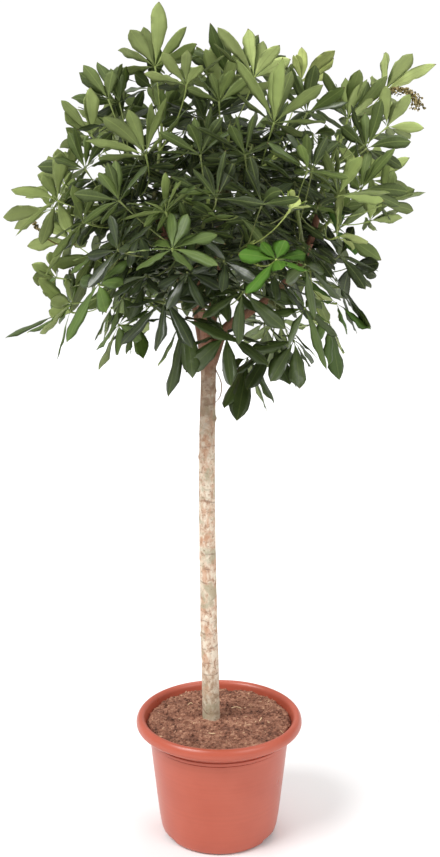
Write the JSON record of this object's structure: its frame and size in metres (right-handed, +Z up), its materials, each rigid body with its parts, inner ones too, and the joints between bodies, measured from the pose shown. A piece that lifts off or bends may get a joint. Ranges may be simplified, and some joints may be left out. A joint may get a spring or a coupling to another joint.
{
  "type": "potted umbrella plant",
  "caption": "Umbrella plant grown as a small standard tree: one bare trunk under a round crown of palmate leaves, standing in peat in a round plastic nursery pot.",
  "frame": {"origin": "on the pot's axis, on the surface that the pot stands on", "axes": "+Z up along the pot's axis, -Y towards the plant's front as the picture shows it, +X towards the picture's right"},
  "size_m": [0.8996, 0.8603, 1.8231],
  "materials": {
    "pot_plastic": "satin",
    "peat": "matte",
    "bark": "matte",
    "leaves": "satin",
    "dried_flowers": "matte"
  },
  "bodies": {
    "root": {"pot": "pot_plastic", "soil": "peat", "trunk": "bark", "shoot_01": "leaves", "shoot_02": "leaves", "shoot_03": "leaves", "shoot_04": "leaves", "shoot_05": "leaves", "shoot_06": "leaves", "shoot_07": "leaves", "shoot_08": "leaves", "shoot_09": "leaves", "shoot_10": "leaves", "shoot_11": "leaves", "shoot_12": "leaves", "shoot_13": "leaves", "shoot_14": "leaves", "shoot_15": "leaves", "shoot_16": "leaves", "shoot_17": "leaves", "shoot_18": "leaves", "shoot_19": "leaves", "shoot_20": "leaves", "shoot_21": "leaves", "shoot_22": "leaves", "shoot_23": "leaves", "shoot_24": "leaves", "shoot_25": "leaves", "shoot_26": "leaves", "shoot_27": "leaves", "shoot_28": "leaves", "shoot_29": "leaves", "spray_right": "dried_flowers", "spray_left": "dried_flowers"}
  },
  "joints": []
}
